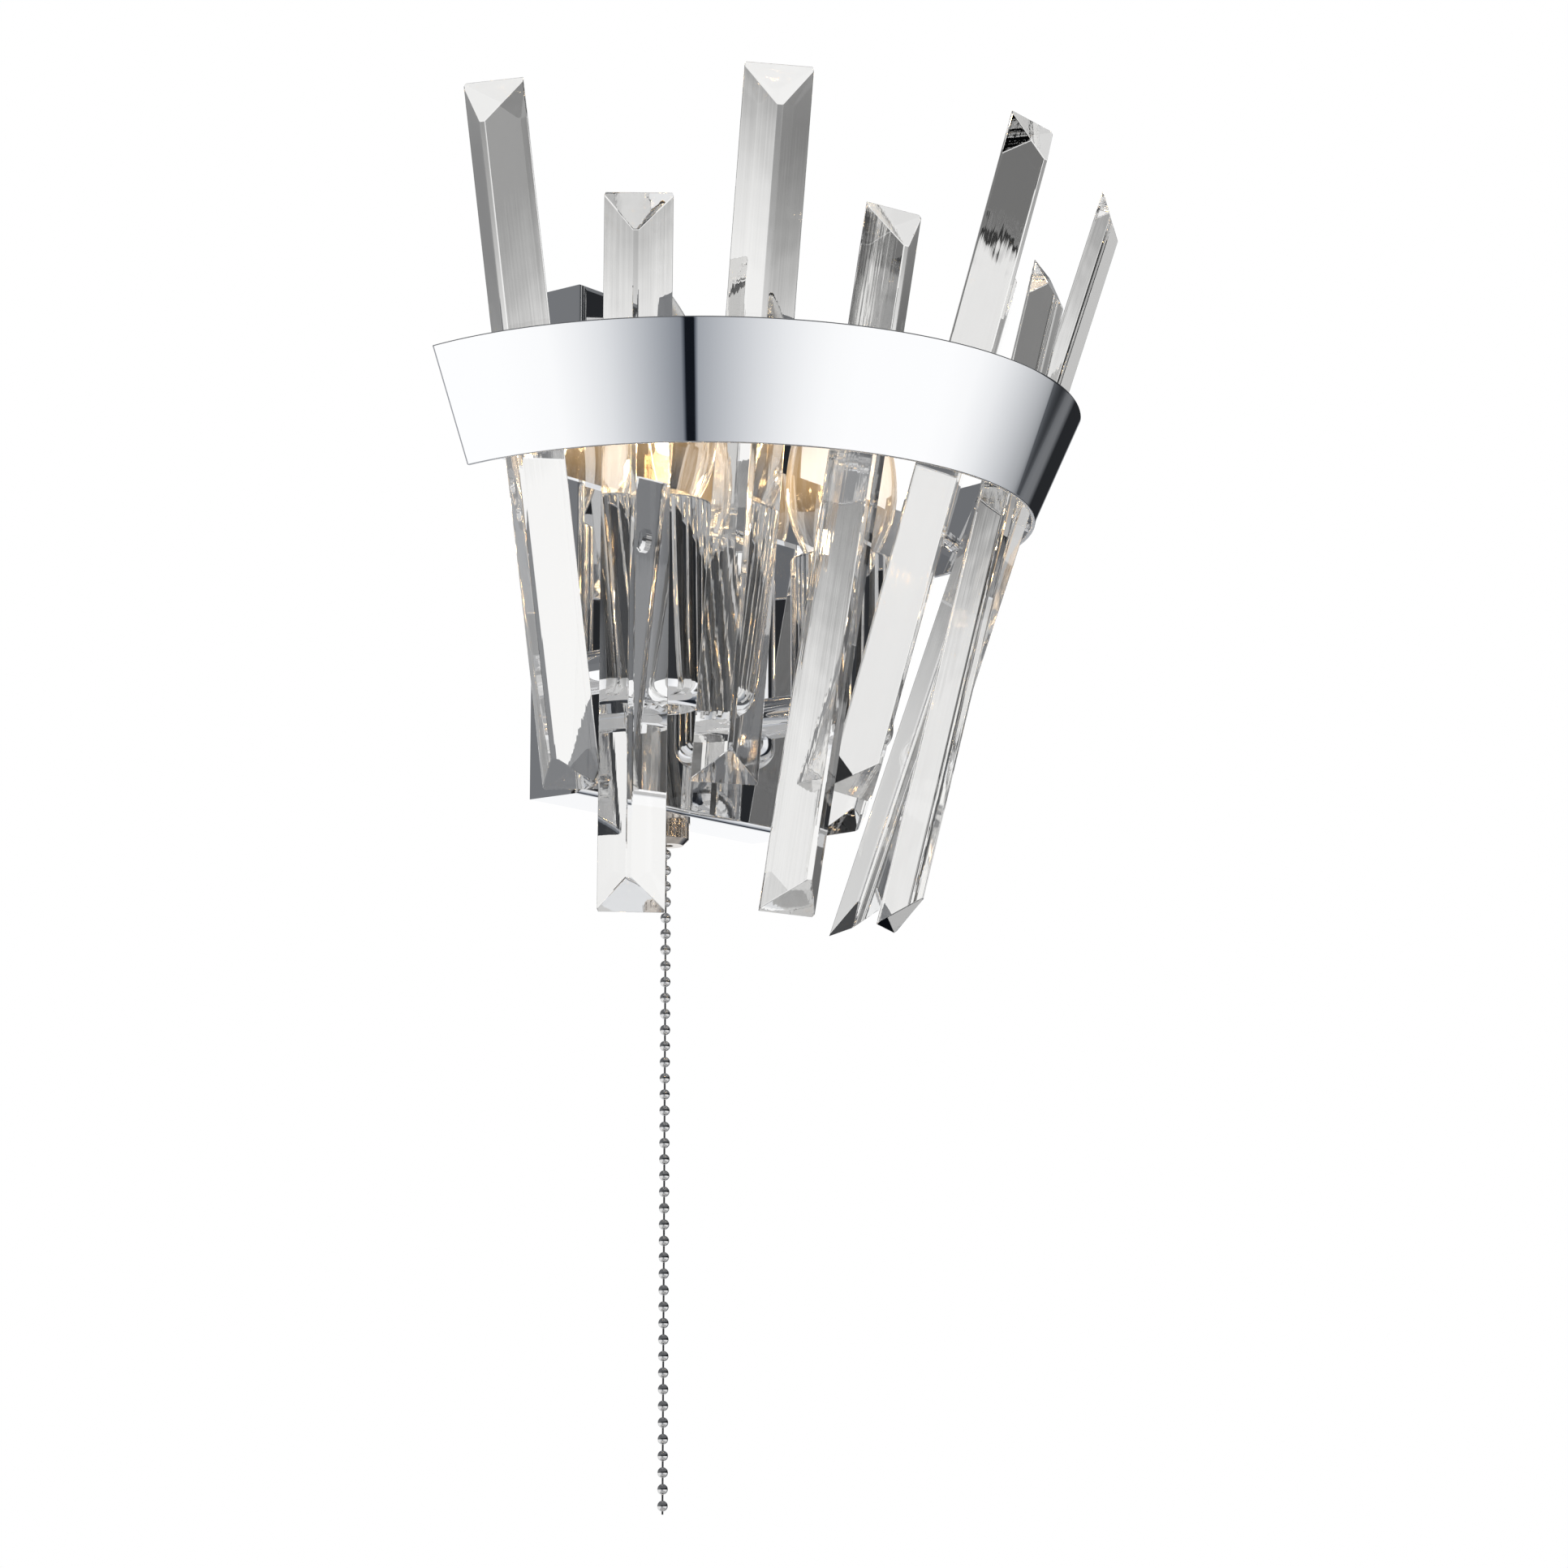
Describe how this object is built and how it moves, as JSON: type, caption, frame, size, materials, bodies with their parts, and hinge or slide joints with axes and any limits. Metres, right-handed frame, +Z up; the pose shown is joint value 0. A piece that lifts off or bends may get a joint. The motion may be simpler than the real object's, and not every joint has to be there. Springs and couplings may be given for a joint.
{
  "type": "wall sconce",
  "caption": "Wall light with a chrome wall box, a conical half-round chrome band, clear crystal prisms, candle lamps in chrome cups and a ball-chain pull switch.",
  "frame": {"origin": "midway between the wall bracket's two slots, on the wall plane at the back of the wall box", "axes": "+X to the right seen from the room, +Y into the wall, +Z up"},
  "size_m": [0.2565, 0.1503, 0.4031],
  "materials": {
    "galvanised_steel": "zinc plated, matt",
    "chrome_sheet": "bright mirror chrome plate",
    "chrome_screw": "bright chrome plate",
    "brass": "plain turned brass",
    "terminal_plastic": "ivory moulded plastic",
    "steel_screw": "zinc plated",
    "black_lead": "soft black sheath",
    "brown_lead": "soft brown sheath",
    "black_plastic": "black moulded plastic",
    "nickel": "satin nickel with a warm tone",
    "white_plastic": "white moulded plastic",
    "spring_steel": "drawn spring wire",
    "chain_nickel": "polished nickel plate",
    "holder_white": "heat-proof white moulding",
    "lamp_glass": "clear thin glass",
    "cap_nickel": "nickelled brass screw shell",
    "filament": "glowing filament",
    "clear_washer": "clear soft washer",
    "crystal": "clear cut and polished crystal"
  },
  "bodies": {
    "fixture": {"wall_bracket": "galvanised_steel", "wall_box": "chrome_sheet", "box_screws": "chrome_screw", "earth_screw": "brass", "terminal_block": "terminal_plastic", "terminal_screws": "steel_screw", "lamp_leads": "black_lead", "switch_leads": "brown_lead", "switch_case": "black_plastic", "switch_lid": "black_plastic", "switch_collar": "nickel", "switch_contacts": "brass", "switch_axle": "galvanised_steel", "back_bar": "chrome_sheet", "bar_screws": "chrome_screw", "bar_nuts": "galvanised_steel", "cup_left": "chrome_sheet", "cup_right": "chrome_sheet", "cup_saddles": "chrome_sheet", "cup_nipples": "brass", "nipple_nuts": "brass", "lampholder_left": "holder_white", "lampholder_right": "holder_white", "holder_contacts": "brass", "band": "chrome_sheet", "crystal_standoffs": "chrome_screw", "crystal_screws": "chrome_screw", "crystal_washers": "clear_washer", "crystal_1": "crystal", "crystal_2": "crystal", "crystal_3": "crystal", "crystal_4": "crystal", "crystal_5": "crystal", "crystal_6": "crystal", "crystal_7": "crystal", "crystal_8": "crystal", "crystal_9": "crystal"},
    "bulb_left": {"bulb_glass_left": "lamp_glass", "bulb_stem_left": "lamp_glass", "bulb_cap_left": "cap_nickel", "filament_left": "filament"},
    "bulb_right": {"bulb_glass_right": "lamp_glass", "bulb_stem_right": "lamp_glass", "bulb_cap_right": "cap_nickel", "filament_right": "filament"},
    "pull": {"pull_slider": "white_plastic", "pull_spring": "spring_steel", "chain_beads": "chain_nickel", "chain_links": "chain_nickel"},
    "rocker": {"switch_rocker": "white_plastic"}
  },
  "joints": [
    {"name": "bulb_left_turn", "type": "hinge", "parent": "fixture", "child": "bulb_left", "pos_m": [-0.0445, -0.0423, 0], "axis": [0, 0, 1], "range_deg": [0, 1080]},
    {"name": "bulb_right_turn", "type": "hinge", "parent": "fixture", "child": "bulb_right", "pos_m": [0.0445, -0.0423, 0], "axis": [0, 0, 1], "range_deg": [0, 1080]},
    {"name": "chain_pull", "type": "slide", "parent": "fixture", "child": "pull", "axis": [0, 0, -1], "range_m": [0, 0.0055], "stiffness_N_per_m": 500, "springref_m": -0.008, "deforming": ["pull_spring"]},
    {"name": "rocker_turn", "type": "hinge", "parent": "fixture", "child": "rocker", "pos_m": [0.0098, -0.0085, -0.05765], "axis": [0, -1, 0], "range_deg": [0, 55.84]}
  ],
  "couplings": [
    {"joint": "rocker_turn", "follows": "chain_pull", "rad_per_m": 176.89}
  ]
}
